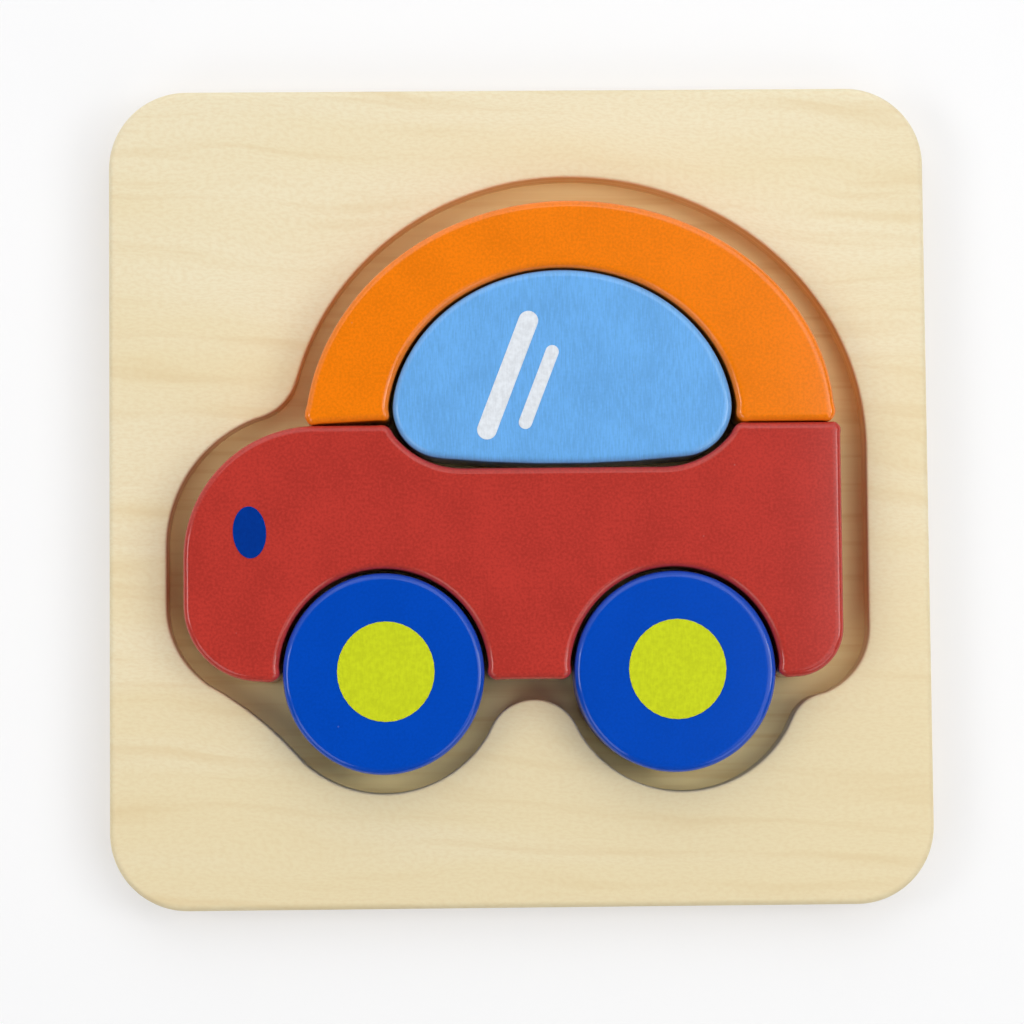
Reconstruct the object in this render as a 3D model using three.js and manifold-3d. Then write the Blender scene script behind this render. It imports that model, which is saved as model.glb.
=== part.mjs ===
// A toddler's inset puzzle: five chunky painted blocks make up a car, which lies in a car-shaped pocket in a
// square plywood tray. Sizes are millimetres. X runs from the car's nose to its tail, Y from its wheels to
// its roof, and Z up out of the tray. The origin is the middle of the tray's underside.
import * as THREE from 'three';
import { mergeVertices } from 'three/addons/utils/BufferGeometryUtils.js';
import Module from 'manifold-3d';

// Tray: a frame panel with the pocket sawn right through it, glued on a thin base panel
const BASE_THICKNESS = 3;
const FRAME_THICKNESS = 6.5;
const TRAY_CORNER_RADIUS = 12;
const TRAY_EDGE_ROUND = 1.25;
const RIM_AHEAD = 10.55; // wood between the pocket and the tray's four edges, as seen from the car
const RIM_BEHIND = 11.45;
const RIM_ABOVE = 16.35;
const RIM_BELOW = 20.85;

// Pocket: the outline of the car, let out all round
const POCKET_CLEARANCE = 3.75;
const POCKET_EASE = 1.9; // spare room past the clearance, behind the tail and over the roof
const POCKET_EDGE_ROUND = 0.5;
const HOOD_BLEND = 9.8; // hollow corner from the roof to the hood
const CHIN_BLEND = 63; // from the chin to the front wheel
const TAIL_BLEND = 7.1; // from the rear wheel to the tail

// Blocks: all sawn from one board and rounded along every edge
const BLOCK_THICKNESS = 15;
const BLOCK_EDGE_ROUND = 1.25;
const SHARPEST_TURN = 100; // degrees, the most that a block's outline turns at a corner
const CORNER_SPARE = 0.05; // what a corner's radius has past the least that its edge round needs

// Wheels
const WHEEL_DIAMETER = 36;
const WHEELBASE = 52.4;
const ARCH_GAP = 1.66;

// Body, measured from the axle line
const FRONT_OVERHANG = 35.8;
const REAR_OVERHANG = 30.4;
const SHOULDER_HEIGHT = 44.7;
const UNDERBODY_DROP = 1.1;
const HOOD_RADIUS = 23.64;
const CHIN_RADIUS = 13.72;
const TAIL_RADIUS = 8.78;
const SCOOP_DEPTH = 7.87; // hollow in the shoulders that takes the lower edge of the window
const SCOOP_RADIUS = 15.79;

// Roof: an arch that stands on the body's shoulders
const HOOD_LENGTH = 22;
const TAIL_SETBACK = 0.95;
const SHOULDER_GAP = 0.45;
const ROOF_RISE = 40.25;
const CROWN_DEPTH = 12.07;
const FRONT_PILLAR = 14.65;
const REAR_PILLAR = 17.4;
const FRONT_RAKE = 2.6; // the front pillar leans back as if its curve stood upright this far below its foot

// Window: fills the opening between the roof and the scoop
const WINDOW_CROWN_GAP = 0.9;
const WINDOW_FRONT_GAP = 1.2;
const WINDOW_REAR_GAP = 1.3;
const WINDOW_SILL_GAP = 1.2;
const WINDOW_CORNER_RADIUS = 8.8;
const WINDOW_BOW = 2.2; // how far the lower edge bulges down at its middle

// Prints: films of ink on the blocks' upper faces
const INK_THICKNESS = 0.1;
const HUB_WIDTH = 17.5;
const HUB_HEIGHT = 18;
const HUB_DRIFT = 0.4; // how far the print landed from the wheel's middle, towards tail and roof alike
const HEADLIGHT_WIDTH = 6;
const HEADLIGHT_HEIGHT = 9.4;
const HEADLIGHT_TILT = 3.4; // degrees, its top towards the nose
const HEADLIGHT_SETBACK = 11.9; // from the nose to its middle
const HEADLIGHT_RISE = 25.6; // from the axle line to its middle
const GLARE_SLANT = 21.2; // degrees, both stripes
const GLARE_INSET = 20.7; // from the window's front edge to the middle of the long stripe
const GLARE_RISE = 15.6; // from the window's lower edge to the middle of the long stripe
const LONG_GLARE_WIDTH = 3.55;
const LONG_GLARE_LENGTH = 24.7;
const SHORT_GLARE_WIDTH = 2.4;
const SHORT_GLARE_LENGTH = 16.1;
const GLARE_SPACING = 5.6; // between the stripes' middles, along the car
const GLARE_STAGGER = 2.2; // how much lower the short stripe's middle is

// Facets
const CHORD_ERROR = 0.051; // most that a straight facet may stray from its round stretch
const SHORTEST_FACET = 0.65; // a shorter one would fold over where its edge is rounded
const ROUND_FACETS = 3; // facets across a rounded edge
const PRINT_FACETS = 36; // facets along a printed arc
const FILLET_STEP = 0.97; // how much smaller each try is at an arc that doesn't fit its corner

// Places of the car's main lines, from a point on the axle line midway between the wheels
const wheelRadius = WHEEL_DIAMETER / 2;
const frontAxle = -WHEELBASE / 2;
const rearAxle = WHEELBASE / 2;
const nose = frontAxle - FRONT_OVERHANG;
const tail = rearAxle + REAR_OVERHANG;
const underbody = -UNDERBODY_DROP;
const shoulder = SHOULDER_HEIGHT;
const roofFoot = shoulder + SHOULDER_GAP;
const roofFront = nose + HOOD_LENGTH;
const roofRear = tail - TAIL_SETBACK;
const roofMiddle = (roofFront + roofRear) / 2;
const openingHalf = (roofRear - roofFront - FRONT_PILLAR - REAR_PILLAR) / 2;
const openingMiddle = roofFront + FRONT_PILLAR + openingHalf;
const openingRise = ROOF_RISE - CROWN_DEPTH;
const scoopFloor = shoulder - SCOOP_DEPTH;
const windowFront = openingMiddle - openingHalf + WINDOW_FRONT_GAP;
const windowRear = openingMiddle + openingHalf - WINDOW_REAR_GAP;
const windowMiddle = (windowFront + windowRear) / 2;
const windowHalf = (windowRear - windowFront) / 2;
const windowSill = scoopFloor + WINDOW_SILL_GAP;
const sharpTurn = THREE.MathUtils.degToRad(SHARPEST_TURN);
const sideCorner = CORNER_SPARE + BLOCK_EDGE_ROUND / (2 * Math.cos(sharpTurn / 4) ** 2);

// Outlines are chains of points walked anticlockwise, with the wood, or the pocket, on their left.
function at(x, y) {
  return new THREE.Vector2(x, y);
}

// Points along a stretch of an ellipse, clockwise if it ends at a smaller angle than it starts. A corner of a
// block is one facet, which leaves the edge round the room to turn it.
function sweep(centre, radiusX, radiusY, from, to) {
  const radius = Math.max(radiusX, radiusY);
  const facetAngle = 2 * Math.acos(1 - CHORD_ERROR / radius);
  const facets = radius > sideCorner ? Math.ceil(Math.abs(to - from) / facetAngle) : 1;
  const curve = new THREE.EllipseCurve(centre.x, centre.y, radiusX, radiusY, from, to, to < from);
  return curve.getPoints(facets);
}

function arc(centre, radius, from, to) {
  return sweep(centre, radius, radius, from, to);
}

// A chain moved sideways, to its left for a positive distance
function shifted(chain, distance) {
  return chain.map((point, i) => {
    const behind = chain[Math.max(i - 1, 0)];
    const ahead = chain[Math.min(i + 1, chain.length - 1)];
    const along = ahead.clone().sub(behind).normalize();
    return at(point.x - distance * along.y, point.y + distance * along.x);
  });
}

// How far along each of two straight facets they cross, or null where they don't
function crossing(a, b, c, d) {
  const first = b.clone().sub(a);
  const second = d.clone().sub(c);
  const between = c.clone().sub(a);
  const span = first.cross(second);
  const alongFirst = between.cross(second) / span;
  const alongSecond = between.cross(first) / span;
  const inside = [alongFirst, alongSecond].every((share) => share >= 0 && share <= 1);
  return inside ? { alongFirst, alongSecond } : null;
}

// Positive where the walk turns left from one chain to the next, which is an outer corner
function turnBetween(before, after) {
  const arriving = before.at(-1).clone().sub(before.at(-2));
  const leaving = after[1].clone().sub(after[0]);
  return Math.sign(arriving.cross(leaving));
}

// Two chains joined by an arc that touches both. Its centre is where the chains, each moved by the radius to
// the inside of the corner, cross. An arc too large for its sides is made smaller until it fits.
function filleted(before, after, radius) {
  const turn = turnBetween(before, after);
  const arriving = shifted(before, turn * radius);
  const leaving = shifted(after, turn * radius);
  for (let i = before.length - 2; i >= 0; i -= 1) {
    for (let j = 0; j < after.length - 1; j += 1) {
      const cross = crossing(arriving[i], arriving[i + 1], leaving[j], leaving[j + 1]);
      if (cross) {
        const start = before[i].clone().lerp(before[i + 1], cross.alongFirst);
        const end = after[j].clone().lerp(after[j + 1], cross.alongSecond);
        const centre = arriving[i].clone().lerp(arriving[i + 1], cross.alongFirst);
        const from = start.clone().sub(centre).angle();
        const to = end.clone().sub(centre).angle();
        const wrap = turn * (to - from) < 0 ? turn * 2 * Math.PI : 0;
        const round = arc(centre, start.distanceTo(centre), from, to + wrap);
        return [...before.slice(0, i + 1), ...round, ...after.slice(j + 1)];
      }
    }
  }
  return filleted(before, after, FILLET_STEP * radius);
}

// One closed outline from edges given as [chain, radius of the corner at its end]. Outer corners are rounded
// before hollow ones, and large ones before small ones, so that a small arc may land on a large one.
function outline(edges) {
  const chains = edges.map(([points, radius]) => ({ points, radius }));
  const rank = (chain, i) => {
    const turn = turnBetween(chain.points, chains[(i + 1) % chains.length].points);
    return Math.atan(chain.radius) + turn * Math.PI;
  };
  while (chains.length > 1) {
    const ranks = chains.map(rank);
    const i = ranks.indexOf(Math.max(...ranks));
    const [next] = chains.splice((i + 1) % chains.length, 1);
    const chain = i < chains.length ? chains[i] : chains.at(-1);
    chain.points = filleted(chain.points, next.points, chain.radius);
    chain.radius = next.radius;
  }
  const [{ points, radius }] = chains;
  const half = Math.floor(points.length / 2);
  const loop = filleted(points.slice(half), points.slice(0, half + 1), radius);
  return loop.filter((point, i) => point.distanceTo(loop[(i + 1) % loop.length]) > SHORTEST_FACET);
}

// Lower half of a wheel's place in the pocket, from its front to its rear
function wheelLobe(axle) {
  return arc(at(axle, 0), wheelRadius + POCKET_CLEARANCE, Math.PI, 2 * Math.PI);
}

// Arch over a wheel, from one end of the underbody to the next
function wheelArch(axle) {
  const radius = wheelRadius + ARCH_GAP;
  const below = Math.asin(UNDERBODY_DROP / radius);
  return arc(at(axle, 0), radius, Math.PI + below, -below);
}

// Body: straight sides between large round corners, two wheel arches below and the window's scoop above
const archHalf = Math.sqrt((wheelRadius + ARCH_GAP) ** 2 - UNDERBODY_DROP ** 2);
const scoopReach = Math.sqrt(SCOOP_RADIUS ** 2 - (SCOOP_RADIUS - SCOOP_DEPTH) ** 2);
const scoopFlatHalf = openingHalf - scoopReach;
const scoopStart = Math.asin(scoopReach / SCOOP_RADIUS) - Math.PI / 2;
const scoopEnd = -Math.PI - scoopStart;
const scoopCentre = scoopFloor + SCOOP_RADIUS;
const scoop = [
  ...arc(at(openingMiddle + scoopFlatHalf, scoopCentre), SCOOP_RADIUS, scoopStart, -Math.PI / 2),
  ...arc(at(openingMiddle - scoopFlatHalf, scoopCentre), SCOOP_RADIUS, -Math.PI / 2, scoopEnd),
];
const bodyOutline = outline([
  [[at(nose, underbody), at(frontAxle - archHalf, underbody)], sideCorner],
  [wheelArch(frontAxle), sideCorner],
  [[at(frontAxle + archHalf, underbody), at(rearAxle - archHalf, underbody)], sideCorner],
  [wheelArch(rearAxle), sideCorner],
  [[at(rearAxle + archHalf, underbody), at(tail, underbody)], TAIL_RADIUS],
  [[at(tail, underbody), at(tail, shoulder)], sideCorner],
  [[at(tail, shoulder), at(openingMiddle + openingHalf, shoulder)], sideCorner],
  [scoop, sideCorner],
  [[at(openingMiddle - openingHalf, shoulder), at(nose, shoulder)], HOOD_RADIUS],
  [[at(nose, shoulder), at(nose, underbody)], CHIN_RADIUS],
]);

// Roof: on flat feet, half an ellipse inside, and outside a quarter of one at the rear and a raked quarter
// at the front
const rakedRise = ROOF_RISE + FRONT_RAKE;
const rakedStart = Math.asin(FRONT_RAKE / rakedRise);
const rakedHalf = (roofMiddle - roofFront) / Math.cos(rakedStart);
const rakedCentre = at(roofMiddle, roofFoot - FRONT_RAKE);
const roofOutline = outline([
  [[at(roofFront, roofFoot), at(openingMiddle - openingHalf, roofFoot)], sideCorner],
  [sweep(at(openingMiddle, roofFoot), openingHalf, openingRise, Math.PI, 0), sideCorner],
  [[at(openingMiddle + openingHalf, roofFoot), at(roofRear, roofFoot)], sideCorner],
  [[
    ...sweep(at(roofMiddle, roofFoot), roofRear - roofMiddle, ROOF_RISE, 0, Math.PI / 2),
    ...sweep(rakedCentre, rakedHalf, rakedRise, Math.PI / 2, Math.PI - rakedStart).slice(1),
  ], sideCorner],
]);

// Window: a half-elliptic dome with short upright sides, and a slightly bowed lower edge
const bowRadius = (windowHalf ** 2 + WINDOW_BOW ** 2) / (2 * WINDOW_BOW);
const bowAngle = Math.asin(windowHalf / bowRadius);
const bowStart = 1.5 * Math.PI - bowAngle;
const bowCentre = at(windowMiddle, windowSill + bowRadius);
const windowCorner = windowSill + WINDOW_BOW;
const windowOutline = outline([
  [arc(bowCentre, bowRadius, bowStart, bowStart + 2 * bowAngle), WINDOW_CORNER_RADIUS],
  [[
    at(windowRear, windowCorner),
    ...sweep(at(windowMiddle, roofFoot), windowHalf, openingRise - WINDOW_CROWN_GAP, 0, Math.PI),
    at(windowFront, windowCorner),
  ], WINDOW_CORNER_RADIUS],
]);

// Pocket: a lobe for each wheel with a full round between them, and one long curve over tail and roof
const pocketNose = nose - POCKET_CLEARANCE;
const pocketTail = tail + POCKET_CLEARANCE + POCKET_EASE;
const pocketTop = roofFoot + ROOF_RISE + POCKET_CLEARANCE + POCKET_EASE;
const pocketHood = shoulder + POCKET_CLEARANCE;
const pocketSpring = shoulder - POCKET_CLEARANCE;
const pocketUnderbody = underbody - POCKET_CLEARANCE;
const pocketRoofFront = roofFront - POCKET_CLEARANCE;
const pocketRearAxle = rearAxle + POCKET_EASE;
const lobeRadius = wheelRadius + POCKET_CLEARANCE;
const lobeHalfSpacing = (pocketRearAxle - frontAxle) / 2;
const humpRound = (lobeHalfSpacing ** 2 - lobeRadius ** 2 + pocketUnderbody ** 2)
  / (2 * (lobeRadius + pocketUnderbody));
const overRoof = at(roofMiddle, pocketSpring);
const pocketRise = pocketTop - pocketSpring;
const pocketOutline = outline([
  [wheelLobe(frontAxle), humpRound],
  [[at(frontAxle, pocketUnderbody), at(pocketRearAxle, pocketUnderbody)], humpRound],
  [wheelLobe(pocketRearAxle), TAIL_BLEND],
  [[at(pocketRearAxle, pocketUnderbody), at(pocketTail, pocketUnderbody)], TAIL_RADIUS + POCKET_CLEARANCE],
  [[
    at(pocketTail, pocketUnderbody),
    ...sweep(overRoof, pocketTail - roofMiddle, pocketRise, 0, Math.PI / 2),
    ...sweep(overRoof, roofMiddle - pocketRoofFront, pocketRise, Math.PI / 2, Math.PI).slice(1),
  ], HOOD_BLEND],
  [[at(roofFront, pocketHood), at(pocketNose, pocketHood)], HOOD_RADIUS + POCKET_CLEARANCE],
  [[at(pocketNose, pocketHood), at(pocketNose, pocketUnderbody)], CHIN_RADIUS + POCKET_CLEARANCE],
  [[at(pocketNose, pocketUnderbody), at(frontAxle, pocketUnderbody)], CHIN_BLEND],
]);

// Tray: a rectangle round the pocket
const trayLeft = pocketNose - RIM_AHEAD;
const trayRight = pocketTail + RIM_BEHIND;
const trayBottom = -lobeRadius - RIM_BELOW;
const trayTop = pocketTop + RIM_ABOVE;
const trayOutline = outline([
  [[at(trayLeft, trayBottom), at(trayRight, trayBottom)], TRAY_CORNER_RADIUS],
  [[at(trayRight, trayBottom), at(trayRight, trayTop)], TRAY_CORNER_RADIUS],
  [[at(trayRight, trayTop), at(trayLeft, trayTop)], TRAY_CORNER_RADIUS],
  [[at(trayLeft, trayTop), at(trayLeft, trayBottom)], TRAY_CORNER_RADIUS],
]);

// A slab of an outline, standing on Z = 0, with both of its edges rounded
function roundedSlab(points, thickness, edgeRound) {
  const slab = new THREE.ExtrudeGeometry(new THREE.Shape(points), {
    depth: thickness - 2 * edgeRound,
    bevelThickness: edgeRound,
    bevelSize: edgeRound,
    bevelOffset: -edgeRound,
    bevelSegments: ROUND_FACETS,
  });
  return slab.translate(0, 0, edgeRound);
}

// A cutter for an opening whose mouth, at Z = 0, is rounded over; it reaches down past the depth given
function roundedMouth(points, depth, edgeRound) {
  const cutter = new THREE.ExtrudeGeometry(new THREE.Shape(points), {
    depth,
    bevelThickness: edgeRound,
    bevelSize: -edgeRound,
    bevelOffset: edgeRound,
    bevelSegments: ROUND_FACETS,
  });
  return cutter.translate(0, 0, -depth - edgeRound);
}

const wasm = await Module();
wasm.setup();

function toSolid(geometry) {
  const bare = geometry.clone();
  bare.deleteAttribute('normal');
  bare.deleteAttribute('uv');
  const merged = mergeVertices(bare);
  return new wasm.Manifold(new wasm.Mesh({
    numProp: 3,
    vertProperties: merged.attributes.position.array,
    triVerts: new Uint32Array(merged.index.array),
  }));
}

function toGeometry(solid) {
  const { vertProperties, triVerts } = solid.getMesh();
  const geometry = new THREE.BufferGeometry();
  geometry.setAttribute('position', new THREE.BufferAttribute(vertProperties, 3));
  geometry.setIndex(new THREE.BufferAttribute(triVerts, 1));
  return geometry;
}

// Paints, inks and bare wood
function finish(color, roughness) {
  return new THREE.MeshStandardMaterial({ color, roughness, metalness: 0 });
}

const FACE_VENEER = finish(0xebdab2, 0.62);
const BASE_VENEER = finish(0xd9bd86, 0.7);
const RED_PAINT = finish(0xb93a30, 0.42);
const ORANGE_PAINT = finish(0xf57e12, 0.42);
const SKY_BLUE_PAINT = finish(0x68abe7, 0.42);
const BLUE_PAINT = finish(0x0248b6, 0.42);
const LIME_INK = finish(0xcddc23, 0.5);
const WHITE_INK = finish(0xe6eef6, 0.5);
const NAVY_INK = finish(0x00348c, 0.5);

function piece(name, geometry, material) {
  const mesh = new THREE.Mesh(geometry, material);
  mesh.name = name;
  return mesh;
}

// The two panels are glued together and then rounded, so one blank is split into base and frame at the glue.
const trayThickness = BASE_THICKNESS + FRAME_THICKNESS;
const blank = toSolid(roundedSlab(trayOutline, trayThickness, TRAY_EDGE_ROUND));
const blankSize = 2 * (trayRight - trayLeft + trayTop - trayBottom);
const belowGlue = new THREE.BoxGeometry(blankSize, blankSize, 2 * BASE_THICKNESS);
const pocket = roundedMouth(pocketOutline, trayThickness, POCKET_EDGE_ROUND).translate(0, 0, trayThickness);
const trayBase = blank.intersect(toSolid(belowGlue));
const trayFrame = blank.subtract(toSolid(belowGlue)).subtract(toSolid(pocket));

const tray = new THREE.Group();
tray.add(piece('tray_base', toGeometry(trayBase), BASE_VENEER));
tray.add(piece('tray_frame', toGeometry(trayFrame), FACE_VENEER));

// The blocks lie side by side on the base panel.
const blocks = new THREE.Group();
blocks.position.z = BASE_THICKNESS;

function addBlock(name, points, material) {
  const block = piece(name, roundedSlab(points, BLOCK_THICKNESS, BLOCK_EDGE_ROUND), material);
  blocks.add(block);
  return block;
}

const wheelOutline = arc(at(0, 0), wheelRadius, 0, 2 * Math.PI).slice(1);
addBlock('car_body', bodyOutline, RED_PAINT);
addBlock('roof', roofOutline, ORANGE_PAINT);
addBlock('window', windowOutline, SKY_BLUE_PAINT);
addBlock('front_wheel', wheelOutline, BLUE_PAINT).position.x = frontAxle;
addBlock('rear_wheel', wheelOutline, BLUE_PAINT).position.x = rearAxle;

// Inks lie on the blocks' upper faces.
const prints = new THREE.Group();
prints.position.z = BLOCK_THICKNESS;
blocks.add(prints);

function addPrint(name, shape, material, x, y, turn) {
  const film = new THREE.ExtrudeGeometry(shape, {
    depth: INK_THICKNESS,
    bevelEnabled: false,
    curveSegments: PRINT_FACETS / 2,
  });
  const print = piece(name, film, material);
  print.position.set(x, y, 0);
  print.rotation.z = THREE.MathUtils.degToRad(turn);
  prints.add(print);
}

// An upright stripe with round ends
function stripe(width, length) {
  const end = (length - width) / 2;
  return new THREE.Shape()
    .absarc(0, end, width / 2, 0, Math.PI)
    .absarc(0, -end, width / 2, Math.PI, 2 * Math.PI);
}

function oval(width, height) {
  return new THREE.Shape().absellipse(0, 0, width / 2, height / 2, 0, 2 * Math.PI);
}

const glareX = windowFront + GLARE_INSET;
const glareY = windowSill + GLARE_RISE;
const shortGlareX = glareX + GLARE_SPACING;
const shortGlareY = glareY - GLARE_STAGGER;
const headlightX = nose + HEADLIGHT_SETBACK;
const longStripe = stripe(LONG_GLARE_WIDTH, LONG_GLARE_LENGTH);
const shortStripe = stripe(SHORT_GLARE_WIDTH, SHORT_GLARE_LENGTH);
const hub = oval(HUB_WIDTH, HUB_HEIGHT);
const headlight = oval(HEADLIGHT_WIDTH, HEADLIGHT_HEIGHT);
addPrint('front_hub_print', hub, LIME_INK, frontAxle + HUB_DRIFT, HUB_DRIFT, 0);
addPrint('rear_hub_print', hub, LIME_INK, rearAxle + HUB_DRIFT, HUB_DRIFT, 0);
addPrint('headlight_print', headlight, NAVY_INK, headlightX, HEADLIGHT_RISE, HEADLIGHT_TILT);
addPrint('long_glare_print', longStripe, WHITE_INK, glareX, glareY, -GLARE_SLANT);
addPrint('short_glare_print', shortStripe, WHITE_INK, shortGlareX, shortGlareY, -GLARE_SLANT);

// The tray's middle comes to the origin.
const puzzle = new THREE.Group();
const centred = new THREE.Group();
centred.position.set(-(trayLeft + trayRight) / 2, -(trayBottom + trayTop) / 2, 0);
centred.add(tray, blocks);
puzzle.add(centred);

export default puzzle;
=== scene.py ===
# A toddler's wooden inset puzzle: a square plywood tray with a car-shaped pocket, and five chunky painted
# blocks that make up the car. X runs from the car's nose to its tail, Y from its wheels to its roof, Z up.
import math

import bpy
import numpy as np
from mathutils import Euler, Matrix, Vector, geometry


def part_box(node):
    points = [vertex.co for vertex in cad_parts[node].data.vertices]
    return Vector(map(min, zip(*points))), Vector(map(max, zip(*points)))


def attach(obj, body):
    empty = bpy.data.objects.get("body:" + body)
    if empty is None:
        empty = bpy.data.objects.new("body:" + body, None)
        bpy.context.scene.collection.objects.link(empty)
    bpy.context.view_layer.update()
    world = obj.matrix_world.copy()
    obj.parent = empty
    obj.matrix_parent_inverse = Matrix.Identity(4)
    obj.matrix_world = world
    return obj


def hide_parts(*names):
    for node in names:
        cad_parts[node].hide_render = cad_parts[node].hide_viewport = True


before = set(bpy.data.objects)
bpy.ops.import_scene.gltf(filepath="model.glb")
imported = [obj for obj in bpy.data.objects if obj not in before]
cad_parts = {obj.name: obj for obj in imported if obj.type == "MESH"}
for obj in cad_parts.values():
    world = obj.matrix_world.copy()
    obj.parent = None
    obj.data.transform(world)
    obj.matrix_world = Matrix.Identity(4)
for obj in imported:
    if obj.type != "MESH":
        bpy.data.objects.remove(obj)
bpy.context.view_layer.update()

# Base panel
# The thin floor of the tray: three-ply birch, sawn to the same round-cornered square as the frame panel and
# glued under it. Its lower edge is rounded over with a router and sanded.
MM = 0.001
HAIR = 0.001 * MM
TRAY_CORNER = 14.2 * MM
CORNER_STEPS = 16
PANEL_ROUND = 1.25 * MM
ROUND_STEPS = 10
FLAT_MARGIN = 0.4 * MM
PANEL_SPACING = 0.5 * MM


def round_square(low, high, radius):
    """The outline of a square panel: a quarter circle at each corner, walked with the wood on its left."""
    quarter = np.linspace(0, math.pi / 2, CORNER_STEPS)
    turns = math.pi / 2 * np.arange(-1, 3)[:, None] + quarter
    corners = np.array([(high.x, low.y), (high.x, high.y), (low.x, high.y), (low.x, low.y)])
    middles = corners - radius * np.sign(corners - (low + high).xy / 2)
    return (middles[:, None] + radius * np.stack([np.cos(turns), np.sin(turns)], axis=2)).reshape(-1, 2)


SHORT_STRETCH = 0.05 * MM
LONG_STRETCH = 6 * MM
STRAIGHT_END = 1.5 * MM
CURVE_STEPS = 24


def evened(ring, spacing):
    """Evenly spaced points on a smooth curve through a ring's points, and the directions out of the wood.

    At each point the curve has the direction of the circle through it and its two neighbours, and between two
    points it is the cubic with those directions. A straight stretch first gets a point close to each end, so
    that the round stretches beside it don't bend it. Out of the wood is to the right of the walk.
    """
    def strides(points):
        """The step from each point to the next, and its length."""
        ahead = np.roll(points, -1, axis=0) - points
        return ahead, np.linalg.norm(ahead, axis=1)[:, None]

    ring = ring[strides(ring)[1][:, 0] > SHORT_STRETCH]
    ahead, length = strides(ring)
    straight = np.flatnonzero(length[:, 0] > LONG_STRETCH)
    inset = STRAIGHT_END * (ahead / length)[straight]
    ends = np.stack([ring[straight] + inset, (ring + ahead)[straight] - inset], axis=1)
    ring = np.insert(ring, np.repeat(straight + 1, 2), ends.reshape(-1, 2), axis=0)

    ahead, length = strides(ring)
    behind, length_behind = np.roll(ahead, 1, axis=0), np.roll(length, 1, axis=0)
    along = ahead / length * length_behind + behind / length_behind * length
    along /= np.linalg.norm(along, axis=1)[:, None]
    part = np.linspace(0, 1, CURVE_STEPS, endpoint=False)[:, None, None]
    leaving, arriving = length * along, length * np.roll(along, -1, axis=0)
    bend, swing = 3 * ahead - 2 * leaving - arriving, leaving + arriving - 2 * ahead
    curve = ring + part * (leaving + part * (bend + part * swing))
    curve = curve.transpose(1, 0, 2).reshape(-1, 2)

    curve = np.concatenate([curve, curve[:1]])
    walked = np.concatenate([[0], np.cumsum(np.linalg.norm(np.diff(curve, axis=0), axis=1))])
    places = np.linspace(0, walked[-1], round(walked[-1] / spacing), endpoint=False)
    points = np.stack([np.interp(places, walked, curve[:, axis]) for axis in (0, 1)], axis=1)
    along = np.roll(points, -1, axis=0) - np.roll(points, 1, axis=0)
    along /= np.linalg.norm(along, axis=1)[:, None]
    return points, np.stack([along[:, 1], -along[:, 0]], axis=1)


MITRE_SLACK = 10 * HAIR
MITRE_STEP = 0.1


def drawn_in(points, outward, depth):
    """A ring drawn into the wood by a depth, with tight corners mitred.

    Each point moves against its outward direction. Where a step between two of them shrinks to almost nothing
    or turns back, or a point ends up closer to the ring than the depth, they have crossed the mitre of a
    corner, so with their neighbours they are spread between the points before and after.
    """
    moved = points - depth * outward
    gap = np.linalg.norm(moved[:, None] - points[None], axis=2).min(axis=1)
    step = np.roll(points, -1, axis=0) - points
    moved_step = np.roll(moved, -1, axis=0) - moved
    onward = (step * moved_step).sum(axis=1) > MITRE_STEP * (step * step).sum(axis=1)
    clear = (gap > depth - MITRE_SLACK) & onward & np.roll(onward, 1)
    clear &= np.roll(clear, 1) & np.roll(clear, -1)
    count = np.arange(len(points))
    spread = [np.interp(count, count[clear], moved[clear, axis], period=len(points)) for axis in (0, 1)]
    return np.stack(spread, axis=1)


def carried(points, outward, profile):
    """A profile carried round a ring: row by row, the ring is drawn in and raised as the profile says."""
    plan = np.stack([drawn_in(points, outward, -out) for out in profile[:, 0]])
    rise = np.broadcast_to(profile[:, None, 1:], plan.shape[:2] + (1,))
    return np.concatenate([plan, rise], axis=2)


def round_over(radius, height, turn):
    """A quarter round of a profile that ends (turn 1) or starts (turn -1) flat at a height."""
    angle = np.linspace(0, math.pi / 2, ROUND_STEPS)[::turn]
    return np.stack([radius * (np.cos(angle) - 1), height + turn * radius * (np.sin(angle) - 1)], axis=1)


def bands(rows, count, first=0):
    """Four-sided faces between neighbouring rows of a grid that closes round, facing out of the wood."""
    low = first + count * np.arange(rows - 1)[:, None] + np.arange(count)
    low_next = first + count * np.arange(rows - 1)[:, None] + np.roll(np.arange(count), -1)
    return np.stack([low, low_next, low_next + count, low + count], axis=-1).reshape(-1, 4).tolist()


TRIANGLES_INSIDE = 1


def filled(ring):
    """Triangles that fill a flat ring, as numbers of its points, facing up, each as wide as can be.

    No points are merged. A ring that crosses itself would get a new point at the crossing, so such a ring is
    left as one face.
    """
    plan = [Vector(point) for point in ring[:, :2].tolist()]
    outline = list(range(len(plan)))
    found = geometry.delaunay_2d_cdt(plan, [], [outline], TRIANGLES_INSIDE, 0.0)
    points, triangles = found[0], found[2]
    return np.array(triangles if len(points) == len(plan) else [outline])


def closed(grid):
    """Faces of a grid that closes round: its bands, its first row filled facing down, its last facing up."""
    rows, count = grid.shape[:2]
    under = filled(grid[0])[:, ::-1]
    top = filled(grid[-1]) + (rows - 1) * count
    return bands(rows, count) + under.tolist() + top.tolist()


SMOOTH_LIMIT = math.radians(40)


def piece(name, points, faces, finish):
    """An object from points and faces, smooth but for its sharp corners, with one finish."""
    mesh = bpy.data.meshes.new(name)
    mesh.from_pydata(points.reshape(-1, 3).tolist(), [], faces)
    mesh.shade_smooth()
    mesh.set_sharp_from_angle(angle=SMOOTH_LIMIT)
    mesh.materials.append(finish)
    made = bpy.data.objects.new(name, mesh)
    bpy.context.scene.collection.objects.link(made)
    return made


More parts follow.
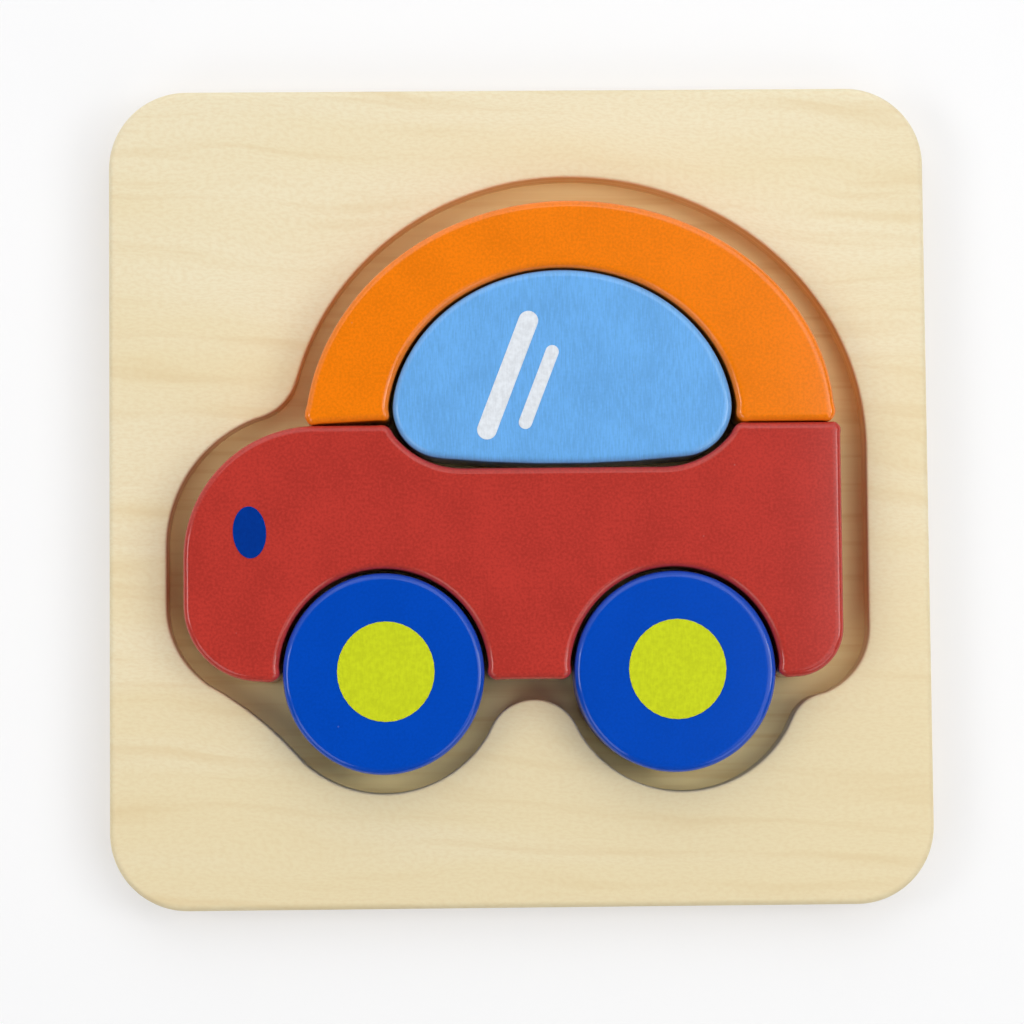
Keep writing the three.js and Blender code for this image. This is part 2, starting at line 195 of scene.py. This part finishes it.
def srgb(red, green, blue):
    """A colour as it looks on a screen, 0 to 255, as the linear colour that shaders take."""
    share = np.array([red, green, blue]) / 255
    linear = np.where(share <= 0.04045, share / 12.92, ((share + 0.055) / 1.055) ** 2.4)
    return (*linear.tolist(), 1.0)


class Wire:
    """A shader socket in an expression: sums and products on it add Math nodes to its material."""

    def __init__(self, socket):
        self.socket = socket

    def node(self, kind, settings, sockets, result=0):
        """Another node of this material: its settings are set first, and then its sockets."""
        tree = self.socket.id_data
        made = tree.nodes.new("ShaderNode" + kind)
        for name, value in settings.items():
            setattr(made, name, value)
        for name, value in sockets.items():
            if isinstance(value, Wire):
                tree.links.new(value.socket, made.inputs[name])
            else:
                made.inputs[name].default_value = value
        return Wire(made.outputs[result])

    def math(self, operation, *values):
        """A Math node on some values."""
        return self.node("Math", {"operation": operation}, dict(enumerate(values)))

    def __add__(self, other):
        return self.math("ADD", self, other)

    def __sub__(self, other):
        return self.math("SUBTRACT", self, other)

    def __rsub__(self, other):
        return self.math("SUBTRACT", other, self)

    def __mul__(self, other):
        return self.math("MULTIPLY", self, other)

    __radd__ = __add__
    __rmul__ = __mul__

    def step(self, low, high):
        """0 below low and 1 above high, with a soft rise between them."""
        bounds = {"Value": self, "From Min": low, "From Max": high}
        return self.node("MapRange", {"interpolation_type": "SMOOTHSTEP"}, bounds)

    def between(self, first, second):
        """The first colour where this value is 0, the second where it is 1.

        A Mix node takes its two colours at the sockets 6 and 7, and gives the mixed one at output 2.
        """
        return self.node("Mix", {"data_type": "RGBA"}, {0: self, 6: first, 7: second}, 2)

    def along(self, axis):
        """How far a place lies along X, Y or Z."""
        return self.node("SeparateXYZ", {}, {"Vector": self}, axis)

    def blotches(self, length, width, height, detail=2.0):
        """Cloudy noise from 0 to 1 at a place, whose blotches have this size along X, Y and Z."""
        size = (1 / length, 1 / width, 1 / height)
        stretched = self.node("Mapping", {}, {"Vector": self, "Scale": size})
        return self.node("TexNoise", {}, {"Vector": stretched, "Scale": 1.0, "Detail": detail})

    def marked(self, name):
        """The value that the points of the mesh are marked with under a name."""
        return self.node("Attribute", {"attribute_name": name}, {}, "Fac")

    def bump(self, strength, depth):
        """The way that a surface faces when this value is a relief of a depth on it."""
        return self.node("Bump", {}, {"Strength": strength, "Distance": depth, "Height": self})


def new_finish(name, constants):
    """A material, its shader with some constants set, and the place on the object for its patterns."""
    material = bpy.data.materials.new(name)
    material.use_nodes = True
    shader = material.node_tree.nodes["Principled BSDF"]
    for socket, value in constants.items():
        shader.inputs[socket].default_value = value
    place = Wire(material.node_tree.nodes.new("ShaderNodeTexCoord").outputs["Object"])
    return material, shader, place


def wire_to(shader, wires):
    """Links wires to a shader's sockets."""
    for socket, wire in wires.items():
        shader.id_data.links.new(wire.socket, shader.inputs[socket])


GLUE = srgb(150, 112, 70)
SANDED_OFF = 0.1
PLY_FADE = (0.46, 0.54)
GLUE_FADE = (0.02, 0.07)


def plies(place, bottom, top, count, long_grain, cross_grain):
    """Colour of plywood by height: long grain at both faces, cross grain in every second ply, glue between.

    The plies are of even thickness, but for the two at the faces, which have lost a little to sanding.
    """
    ply = (place.along("Z") - bottom) * ((count - 2 * SANDED_OFF) / (top - bottom)) + SANDED_OFF
    crossed = ply.math("PINGPONG", ply - 0.5, 1.0).step(*PLY_FADE)
    from_glue = ply.math("PINGPONG", ply, 0.5).step(*GLUE_FADE)
    return from_glue.between(GLUE, crossed.between(long_grain, cross_grain))


BASE_PLIES = 3
BASE_GLOSS = {"Roughness": 0.62, "Specular IOR Level": 0.3}
BASE_WOOD = srgb(244, 223, 162)
BASE_STREAK = srgb(234, 206, 142)
BASE_END_GRAIN = srgb(196, 160, 110)
BASE_STREAK_SIZE = (70 * MM, 1.6 * MM, 1.6 * MM)
BASE_STREAK_FADE = (0.45, 0.75)
BASE_FIBRE_SIZE = (9 * MM, 0.22 * MM, 0.22 * MM)
FIBRE_STRENGTH = 0.3
FIBRE_DEPTH = 0.03 * MM

base_low, base_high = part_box("tray_base")
tray_outline = round_square(base_low, base_high, TRAY_CORNER)
tray_points, tray_outward = evened(tray_outline, PANEL_SPACING)
base_profile = np.concatenate([
    [[-PANEL_ROUND - FLAT_MARGIN, base_low.z]],
    round_over(PANEL_ROUND, base_low.z, -1),
    [[0, base_high.z], [-FLAT_MARGIN, base_high.z]],
])
base_grid = carried(tray_points, tray_outward, base_profile)

base_finish, base_shader, base_place = new_finish("base veneer", BASE_GLOSS)
base_streaks = base_place.blotches(*BASE_STREAK_SIZE, detail=4.0).step(*BASE_STREAK_FADE)
base_face = base_streaks.between(BASE_WOOD, BASE_STREAK)
base_colour = plies(base_place, base_low.z, base_high.z, BASE_PLIES, base_face, BASE_END_GRAIN)
base_fibres = base_place.blotches(*BASE_FIBRE_SIZE)
wire_to(base_shader, {"Base Color": base_colour, "Normal": base_fibres.bump(FIBRE_STRENGTH, FIBRE_DEPTH)})

base_panel = piece("base_panel", base_grid, closed(base_grid), base_finish)
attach(base_panel, "tray")
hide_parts("tray_base")

# Frame panel
# The thick upper panel of the tray: five-ply birch with pale faces, whose car-shaped opening is cut right
# through with a laser, which browns the wood along the cut. Painted shade darkens that brown line most at
# nose and tail and least by the wheels, the cut wall is painted lighter than its plies as painted light, and
# the face is painted paler towards the roof's side and darker towards the wheels, as light falls.
# Outer edges are rounded over and sanded.
POCKET_SPACING = 0.35 * MM
MOUTH_ROUND = 0.5 * MM

# How dark the cut is marked from the floor up its wall, round its mouth and out over the face, and what share
# of that it gets by how far the wall there faces the roof's side, from -1 to 1. The mark is part laser
# browning and part painted shade; its share by side is painted shade, most at nose and tail and least by the
# wheels.
WALL_DEPTHS = np.array([1.5, 0.7, 0.25]) * MM
WALL_SCORCH_AND_SHADE = [0.0, 0.05, 0.3, 0.45]
MOUTH_SCORCH_AND_SHADE = [0.5, 0.48, 0.44, 0.4, 0.34, 0.28, 0.22, 0.17, 0.13, 0.1]
SCORCH_AND_SHADE_REACH = np.array([0.12, 0.3, 0.6, 1.1]) * MM
SCORCH_AND_SHADE_FADE = [0.08, 0.05, 0.02, 0.0]
PAINTED_SHADE_SIDES = ([-1.0, -0.5, 0.0, 0.7], [0.3, 0.6, 1.0, 0.1])
CUT_LIGHT_SHARE = 0.75

FRAME_PLIES = 5
FRAME_GLOSS = {"Roughness": 0.5, "Specular IOR Level": 0.3}
FRAME_WOOD = srgb(241, 229, 196)
# The warm tone of the face, which also serves as painted shade towards the wheels.
FRAME_WARM_AND_SHADED = srgb(237, 221, 180)
FRAME_STREAK = srgb(226, 201, 152)
FRAME_END_GRAIN = srgb(196, 158, 104)
# Pale wood for the cut wall, laid over its plies as painted light: lighter and less red than the shaded wall.
WALL_WOOD_AND_LIGHT = srgb(234, 224, 174)
# Laser browning, deepened as painted shade.
SCORCHED_AND_SHADED = srgb(164, 102, 44)
GRAIN_SLANT = 0.05
DRIFT_SIZE = (45 * MM, 16 * MM, 16 * MM)
DRIFT = 9 * MM
BROAD_SIZE = (120 * MM, 14 * MM, 14 * MM)
BROAD_FADE = (0.3, 0.7)
# Painted light: the face gets paler towards the roof's side and darker towards the wheels by this per metre.
PAINTED_LIGHT_PER_METRE = 2.0
STREAK_SIZE = (50 * MM, 3.2 * MM, 3.2 * MM)
STREAK_FADE = (0.48, 0.78)
STREAK_SHARE = 0.5
PORE_SIZE = (1.1 * MM, 0.5 * MM, 0.5 * MM)
PORE_FADE = (0.35, 0.7)
PORE_SHARE = 0.3
FIBRE_SIZE = (6 * MM, 0.25 * MM, 0.25 * MM)


def level_cut(node, height, near):
    """The ring where a level plane cuts a CAD solid, walked with the wood on its left, in plan.

    Every triangle that crosses the plane gives one step of the ring: from the edge where its outline falls
    through the plane to the edge where it rises. Each step is followed by the one that starts nearest to its
    end. The walk starts at the step nearest to the point given, and its length doubles with each round: the
    steps so far, followed by the same steps moved on by as many as there are.
    """
    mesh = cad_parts[node].data
    mesh.calc_loop_triangles()
    points = np.empty(3 * len(mesh.vertices))
    corners = np.empty(3 * len(mesh.loop_triangles), int)
    mesh.vertices.foreach_get("co", points)
    mesh.loop_triangles.foreach_get("vertices", corners)
    here = points.reshape(-1, 3)[corners].reshape(-1, 3, 3)
    there = np.roll(here, -1, axis=1)
    falling = (here[..., 2] > height) & (there[..., 2] <= height)
    rising = (here[..., 2] <= height) & (there[..., 2] > height)
    cut_by = {}
    for name, edges in (("starts", falling), ("ends", rising)):
        low, high = here[edges], there[edges]
        share = (height - low[:, 2]) / (high[:, 2] - low[:, 2])
        cut_by[name] = (low + share[:, None] * (high - low))[:, :2]
    starts, ends = cut_by["starts"], cut_by["ends"]
    moved_on = np.argmin(np.linalg.norm(ends[:, None] - starts[None], axis=2), axis=1)
    walk = np.array([np.argmin(np.linalg.norm(starts - near, axis=1))])
    while len(walk) <= len(starts):
        walk = np.concatenate([walk, moved_on[walk]])
        moved_on = moved_on[moved_on]
    length = np.flatnonzero(walk[1:] == walk[0])[0] + 1
    return starts[walk[:length]]


def flat_between(*rings):
    """Triangles that fill the flat between two rings, as numbers of their points, facing up."""
    return np.array(geometry.tessellate_polygon([ring.tolist() for ring in rings]))


def mark(made, name, values):
    """Marks every point of a piece with a value that its finish can read."""
    made.data.attributes.new(name, "FLOAT", "POINT").data.foreach_set("value", values)


frame_low, frame_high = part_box("tray_frame")
pocket_outline = level_cut("tray_frame", frame_high.z - MOUTH_ROUND - HAIR, (0, 0))
pocket_points, pocket_outward = evened(pocket_outline, POCKET_SPACING)
rim_profile = np.concatenate([
    [[0, frame_low.z]],
    round_over(PANEL_ROUND, frame_high.z, 1),
    [[-PANEL_ROUND - FLAT_MARGIN, frame_high.z]],
])
wall_heights = np.concatenate([[frame_low.z], frame_high.z - MOUTH_ROUND - WALL_DEPTHS])
mouth_profile = np.concatenate([
    np.stack([np.zeros_like(wall_heights), wall_heights], axis=1),
    round_over(MOUTH_ROUND, frame_high.z, 1),
    np.stack([-MOUTH_ROUND - SCORCH_AND_SHADE_REACH, np.full(len(SCORCH_AND_SHADE_REACH), frame_high.z)], axis=1),
])

rim_grid = carried(tray_points, tray_outward, rim_profile)
mouth_grid = carried(pocket_points, pocket_outward, mouth_profile)
rim_numbers = np.arange(rim_grid[..., 0].size).reshape(rim_grid.shape[:2])
mouth_numbers = rim_numbers.size + np.arange(mouth_grid[..., 0].size).reshape(mouth_grid.shape[:2])
frame_faces = bands(*rim_grid.shape[:2]) + bands(*mouth_grid.shape[:2], rim_numbers.size)
top_numbers = np.concatenate([rim_numbers[-1], mouth_numbers[-1]])
under_numbers = np.concatenate([rim_numbers[0], mouth_numbers[0]])
frame_faces += top_numbers[flat_between(rim_grid[-1], mouth_grid[-1])].tolist()
frame_faces += under_numbers[flat_between(rim_grid[0], mouth_grid[0])][:, ::-1].tolist()

frame_finish, frame_shader, frame_place = new_finish("face veneer", FRAME_GLOSS)
drift = frame_place.blotches(*DRIFT_SIZE) * DRIFT
sideways = frame_place.node("CombineXYZ", {}, {"Y": frame_place.along("X") * GRAIN_SLANT + drift})
wavy = frame_place.node("VectorMath", {"operation": "ADD"}, {0: frame_place, 1: sideways})
# Painted light and shade: broad tone, paler towards the roof's side and darker towards the wheels.
broad_tone_and_light = (wavy.blotches(*BROAD_SIZE) - frame_place.along("Y") * PAINTED_LIGHT_PER_METRE).step(*BROAD_FADE)
streaks = wavy.blotches(*STREAK_SIZE, detail=3.0).step(*STREAK_FADE)
pores = wavy.blotches(*PORE_SIZE, detail=3.0).step(*PORE_FADE)
frame_face = broad_tone_and_light.between(FRAME_WOOD, FRAME_WARM_AND_SHADED)
frame_face = (streaks * STREAK_SHARE).between(frame_face, FRAME_STREAK)
frame_face = (pores * PORE_SHARE).between(frame_face, FRAME_STREAK)
frame_colour = plies(frame_place, frame_low.z, frame_high.z, FRAME_PLIES, frame_face, FRAME_END_GRAIN)
# Painted light: the cut wall is lightened over its plies.
frame_colour = frame_place.marked("cut_wall_light").between(frame_colour, WALL_WOOD_AND_LIGHT)
# Painted shade along the cut, on top of its laser browning.
frame_colour = frame_place.marked("scorch_and_shade").between(frame_colour, SCORCHED_AND_SHADED)
frame_fibres = wavy.blotches(*FIBRE_SIZE)
wire_to(frame_shader, {"Base Color": frame_colour, "Normal": frame_fibres.bump(FIBRE_STRENGTH, FIBRE_DEPTH)})

frame_points = np.concatenate([rim_grid.reshape(-1, 3), mouth_grid.reshape(-1, 3)])
frame_panel = piece("frame_panel", frame_points, frame_faces, frame_finish)
rim_unmarked = np.zeros(rim_numbers.size)
mouth_scorch_and_shade = np.concatenate([WALL_SCORCH_AND_SHADE, MOUTH_SCORCH_AND_SHADE, SCORCH_AND_SHADE_FADE])
# The share by side is painted shade.
side_painted_shade = np.interp(pocket_outward[:, 1], *PAINTED_SHADE_SIDES)
mark(frame_panel, "scorch_and_shade", np.concatenate([rim_unmarked, np.outer(mouth_scorch_and_shade, side_painted_shade).ravel()]))
# The cut wall's painted light, over most of the wall.
mouth_cut_light = (mouth_profile[:, 1] < frame_high.z - MOUTH_ROUND / 2) * CUT_LIGHT_SHARE
mark(frame_panel, "cut_wall_light", np.concatenate([rim_unmarked, np.repeat(mouth_cut_light, len(pocket_points))]))
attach(frame_panel, "tray")
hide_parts("tray_frame")

# Car body
# The largest block, sawn from a board of close-grained hardwood with two wheel arches below and a scoop for
# the window above. All its edges are rounded over, and it is sprayed all round with red satin paint.
BLOCK_ROUND = 1.25 * MM
BLOCK_SPACING = 0.3 * MM
ARCH_GAP = 0.95 * MM
ARCH_FADE = 2.5 * MM
PAINT_BUILD = 0.1 * MM
BODY_RED = srgb(184, 56, 47)


def block_outline(node):
    """The outline of a block's upright sides."""
    low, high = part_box(node)
    return level_cut(node, high.z - BLOCK_ROUND - HAIR, low.xy)


def snug(outline, wheel):
    """An outline whose arch is drawn in round a wheel's middle, up to a narrow gap.

    The points that are nearest to the middle make the arch. They move by what the gap is too wide, and points
    farther away by less, down to nothing where the fade ends.
    """
    low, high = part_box(wheel)
    from_middle = outline - (low + high).xy / 2
    away = np.linalg.norm(from_middle, axis=1)
    arch = away.min()
    share = np.clip(1 - (away - arch) / ARCH_FADE, 0, 1)
    too_wide = arch - (high.x - low.x) / 2 - ARCH_GAP
    return outline - (too_wide * share * share * (3 - 2 * share) / away)[:, None] * from_middle


def block(name, node, outline, finish, growth):
    """A block with an outline let out by a growth, its edges rounded over and marked as such."""
    low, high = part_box(node)
    points, outward = evened(outline, BLOCK_SPACING)
    points = points + growth * outward
    flat_edge = -BLOCK_ROUND - FLAT_MARGIN
    profile = np.concatenate([
        [[flat_edge, low.z]],
        round_over(BLOCK_ROUND, low.z, -1),
        round_over(BLOCK_ROUND, high.z, 1),
        [[flat_edge, high.z]],
    ])
    grid = carried(points, outward, profile)
    made = piece(name, grid, closed(grid), finish)
    rise = np.sin(np.linspace(0, math.pi, ROUND_STEPS))
    edge = np.concatenate([[0], rise, rise, [0]])
    mark(made, "edge", np.repeat(edge, len(points)))
    return made


def toned(colour, share, lift=0.0):
    """A deeper or paler tone of a colour: each part times a share, plus a lift, and 1 at most."""
    return tuple(min(1.0, share * part + lift) for part in colour[:3]) + (1.0,)


PAINT_COAT = {"Coat Weight": 0.7, "Coat Roughness": 0.1}
PEEL_SIZE = (0.5 * MM, 0.5 * MM, 0.5 * MM)
GRAIN_SIZE = (0.25 * MM, 2.5 * MM, 2.5 * MM)
CLOUD_SIZE = (9 * MM, 12 * MM, 9 * MM)
CLOUD_SHARE = 0.3
SHADE_FADE = (0.36, 0.64)
SPECK_SPACING = 3 * MM
SPECK_CHOICE = (0.8, 0.82)
SPECK_EDGE = (0.03, 0.07)
SPECK_SHARE = 0.5
EDGE_SHARE = 0.05
DUST_SHARE = 0.7
DUST_LIFT = 0.12
PEEL_RELIEF = 0.4
PAINT_STRENGTH = 0.4
PAINT_DEPTH = 0.03 * MM
PAINT_ROUGHNESS = 0.24
CLOUD_ROUGHNESS = 0.04
PEEL_ROUGHNESS = 0.06


def satin_paint(name, colour, mottle, grain_share, haze):
    """Satin paint sprayed on wood: a fine orange peel, a few specks of dust and a trace of grain along Y.

    Clouds, peel and grain shade the colour by the mottle up and down. A speck is the middle of a cell in a
    pattern of cells, in about one of five. Specks are paler than the paint, and so are edges, by a trace.
    """
    finish, shader, place = new_finish(name, {"Specular IOR Level": haze, **PAINT_COAT})
    peel = place.blotches(*PEEL_SIZE, detail=3.0)
    grain = place.blotches(*GRAIN_SIZE, detail=3.0)
    cloud = place.blotches(*CLOUD_SIZE)
    peel_share = 1 - CLOUD_SHARE - grain_share
    shade = (cloud * CLOUD_SHARE + peel * peel_share + grain * grain_share).step(*SHADE_FADE)
    shaded = shade.between(toned(colour, 1 - mottle), toned(colour, 1 + mottle))
    cells = {"Vector": place, "Scale": 1 / SPECK_SPACING}
    cell_colour = place.node("TexVoronoi", {}, cells, "Color")
    chosen = place.node("SeparateColor", {}, {"Color": cell_colour}, "Red").step(*SPECK_CHOICE)
    specks = (1 - place.node("TexVoronoi", {}, cells, "Distance").step(*SPECK_EDGE)) * chosen
    pale = specks * SPECK_SHARE + place.marked("edge") * EDGE_SHARE
    relief = grain * grain_share + peel * PEEL_RELIEF
    wire_to(shader, {
        "Base Color": pale.between(shaded, toned(colour, DUST_SHARE, DUST_LIFT)),
        "Roughness": cloud * CLOUD_ROUGHNESS + peel * PEEL_ROUGHNESS + PAINT_ROUGHNESS,
        "Normal": relief.bump(PAINT_STRENGTH, PAINT_DEPTH),
    })
    return finish


body_outline = block_outline("car_body")
for end in ("front", "rear"):
    body_outline = snug(body_outline, f"{end}_wheel")
body_finish = satin_paint("red paint", BODY_RED, mottle=0.13, grain_share=0.1, haze=0.05)
body_block = block("body_block", "car_body", body_outline, body_finish, PAINT_BUILD)
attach(body_block, "body_block")
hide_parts("car_body")

# Roof
# An arch-shaped block of the same board that stands on the body's two shoulders, with the window under it.
# It is rounded over and sprayed orange.
ROOF_ORANGE = srgb(244, 126, 4)
roof_finish = satin_paint("orange paint", ROOF_ORANGE, mottle=0.08, grain_share=0.1, haze=0.14)
roof_block = block("roof_block", "roof", block_outline("roof"), roof_finish, PAINT_BUILD)
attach(roof_block, "roof_block")
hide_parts("roof")

# Window
# A half-dome block of the same board that fills the opening between the roof and the body's scoop. It is
# rounded over and sprayed sky blue.
WINDOW_GROWTH = 0.4 * MM
WINDOW_BLUE = srgb(107, 174, 237)
window_finish = satin_paint("sky blue paint", WINDOW_BLUE, mottle=0.1, grain_share=0.5, haze=0.2)
window_block = block("window_block", "window", block_outline("window"), window_finish, WINDOW_GROWTH)
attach(window_block, "window_block")
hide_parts("window")

# Wheels
# Two round blocks of the same board, loose in the body's wheel arches. They are rounded over and sprayed
# blue.
WHEEL_BLUE = srgb(0, 72, 187)
wheel_finish = satin_paint("blue paint", WHEEL_BLUE, mottle=0.06, grain_share=0.1, haze=0.06)
for end in ("front", "rear"):
    wheel = f"{end}_wheel"
    wheel_block = block(f"{wheel}_block", wheel, block_outline(wheel), wheel_finish, PAINT_BUILD)
    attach(wheel_block, f"{wheel}_block")
    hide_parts(wheel)

# Hub prints
# A disc of lime ink in the middle of each wheel, which stands for the hub. It is screen-printed on the paint,
# and its edge is rounded as wet ink settles.
HUB_LIME = srgb(201, 212, 34)
INK_ROUND = 0.04 * MM
INK_SPACING = 0.2 * MM
INK_GLOSS = {"Roughness": 0.4, "Specular IOR Level": 0.05}
INK_GRAIN_SIZE = (0.3 * MM, 2 * MM, 2 * MM)
INK_GRAIN_SHARE = 0.35
INK_PATCH_SIZE = (0.8 * MM, 0.8 * MM, 0.8 * MM)
INK_FADE = (0.3, 0.7)
INK_DEEP = 0.91
INK_PALE = 1.08
INK_STRENGTH = 0.35
INK_DEPTH = 0.04 * MM


def print_film(name, node, finish):
    """A film of ink with a CAD node's outline, its upper edge rounded over."""
    low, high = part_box(node)
    points, outward = evened(level_cut(node, (low.z + high.z) / 2, low.xy), INK_SPACING)
    profile = np.concatenate([
        [[-FLAT_MARGIN, low.z], [0, low.z]],
        round_over(INK_ROUND, high.z, 1),
        [[-FLAT_MARGIN, high.z]],
    ])
    grid = carried(points, outward, profile)
    return piece(name, grid, closed(grid), finish)


def ink(name, colour):
    """Screen-printing ink, a little patchy, through which the wood's grain shows."""
    finish, shader, place = new_finish(name, INK_GLOSS)
    grain = place.blotches(*INK_GRAIN_SIZE, detail=3.0)
    patch = place.blotches(*INK_PATCH_SIZE, detail=4.0)
    shade = grain * INK_GRAIN_SHARE + patch * (1 - INK_GRAIN_SHARE)
    shaded = shade.step(*INK_FADE).between(toned(colour, INK_DEEP), toned(colour, INK_PALE))
    wire_to(shader, {"Base Color": shaded, "Normal": shade.bump(INK_STRENGTH, INK_DEPTH)})
    return finish


hub_finish = ink("lime ink", HUB_LIME)
for end in ("front", "rear"):
    hub = print_film(f"{end}_hub", f"{end}_hub_print", hub_finish)
    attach(hub, f"{end}_wheel_block")
    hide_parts(f"{end}_hub_print")

# Headlight print
# An upright oval of navy ink near the body's nose, which stands for the headlight. It is screen-printed on
# the paint, as the hubs are.
HEADLIGHT_NAVY = srgb(0, 52, 143)
headlight = print_film("headlight", "headlight_print", ink("navy ink", HEADLIGHT_NAVY))
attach(headlight, "body_block")
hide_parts("headlight_print")

# Glare prints
# Two slanted stripes of white ink on the window, which stand for light on glass. They are screen-printed on
# the paint, as the hubs are.
GLARE_WHITE = srgb(226, 231, 237)
glare_finish = ink("white ink", GLARE_WHITE)
for length in ("long", "short"):
    glare = print_film(f"{length}_glare", f"{length}_glare_print", glare_finish)
    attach(glare, "window_block")
    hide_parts(f"{length}_glare_print")

# Table
# A plain white table top under the tray. It is whitened towards the camera, and keeps the tray's soft
# shadow.
FLOOR_HALF = 4.0
FLOOR_GLOSS = {"Roughness": 0.8}
FLOOR_WHITE = srgb(249, 249, 250)
FLOOR_PALE = srgb(250, 250, 251)
FLOOR_CLOUD_SIZE = (0.3, 0.3, 0.3)
WHITENED = 0.42
floor_mesh = bpy.data.meshes.new("table")
floor_plan = FLOOR_HALF * np.array([[-1, -1, 0], [1, -1, 0], [1, 1, 0], [-1, 1, 0]])
floor_mesh.from_pydata(floor_plan.tolist(), [], [[0, 1, 2, 3]])
floor = bpy.data.objects.new("table", floor_mesh)
floor.location.z = -HAIR
bpy.context.scene.collection.objects.link(floor)
floor_finish, floor_shader, floor_place = new_finish("table top", FLOOR_GLOSS)
floor_colour = floor_place.blotches(*FLOOR_CLOUD_SIZE).between(FLOOR_WHITE, FLOOR_PALE)
wire_to(floor_shader, {"Base Color": floor_colour})
rays = ("Is Camera Ray", "Is Glossy Ray", "Is Transmission Ray")
seen = sum(floor_place.node("LightPath", {}, {}, ray) for ray in rays)
white = floor_place.node("Emission", {}, {"Color": (1.0, 1.0, 1.0, 1.0), "Strength": 1.0})
shaded = Wire(floor_shader.outputs["BSDF"])
whitened = floor_place.node("MixShader", {}, {0: seen * WHITENED, 1: shaded, 2: white})
wire_to(floor_finish.node_tree.nodes["Material Output"], {"Surface": whitened})
floor_mesh.materials.append(floor_finish)

# Light
# A dim white room, and soft lamps that face the tray: bearing and slope in degrees, size in metres and
# level, the share of full light that a small lamp of that power gives the tray's upper face. Wide lamps
# give less, so the levels add up to a little more than 1, and colours look about as they are written.
ROOM_LIGHT = 0.02
LAMP_AWAY = 0.9
LAMPS = {
    "tail lamp": (0, 43, 0.3, 0.125),
    "high tail lamp": (0, 64, 0.5, 0.13),
    "corner lamp": (45, 50, 0.8, 0.165),
    "roof lamp": (90, 37, 1.2, 0.275),
    "roof nose lamp": (135, 30, 1.0, 0.115),
    "nose lamp": (180, 43, 0.3, 0.13),
    "chin lamp": (225, 40, 0.5, 0.125),
    "wheel lamp": (315, 35, 0.5, 0.115),
}
world = bpy.data.worlds.new("dim room")
bpy.context.scene.world = world
world.use_nodes = True
background = world.node_tree.nodes["Background"]
background.inputs["Color"].default_value = (1.0, 1.0, 1.0, 1.0)
background.inputs["Strength"].default_value = ROOM_LIGHT
for name, (bearing, slope, size, level) in LAMPS.items():
    lamp = bpy.data.lights.new(name, "AREA")
    lamp.size = size
    lamp.energy = level * (math.pi * LAMP_AWAY) ** 2 / math.sin(math.radians(slope))
    holder = bpy.data.objects.new(name, lamp)
    holder.rotation_euler = Euler((math.radians(90 - slope), 0, math.radians(bearing + 90)))
    holder.location = LAMP_AWAY * (holder.rotation_euler.to_matrix() @ Vector((0, 0, 1)))
    bpy.context.scene.collection.objects.link(holder)

# Camera
# Nearly straight above the tray, a little towards the wheels, and far enough off for a flat picture. Its
# place, turn in degrees and lens are those at which the tray's edges lie as in the photograph.
CAMERA_PLACE = (-11.25 * MM, -35.77 * MM, 556.84 * MM)
CAMERA_TURN = (3.434, -0.993, -0.548)
CAMERA_LENS = 105.47
CAMERA_SENSOR = 36.0
camera = bpy.data.cameras.new("camera")
camera.lens = CAMERA_LENS
camera.sensor_width = CAMERA_SENSOR
camera_holder = bpy.data.objects.new("camera", camera)
camera_holder.location = CAMERA_PLACE
camera_holder.rotation_euler = Euler([math.radians(angle) for angle in CAMERA_TURN])
bpy.context.scene.collection.objects.link(camera_holder)
bpy.context.scene.camera = camera_holder
bpy.context.scene.view_settings.view_transform = "Standard"
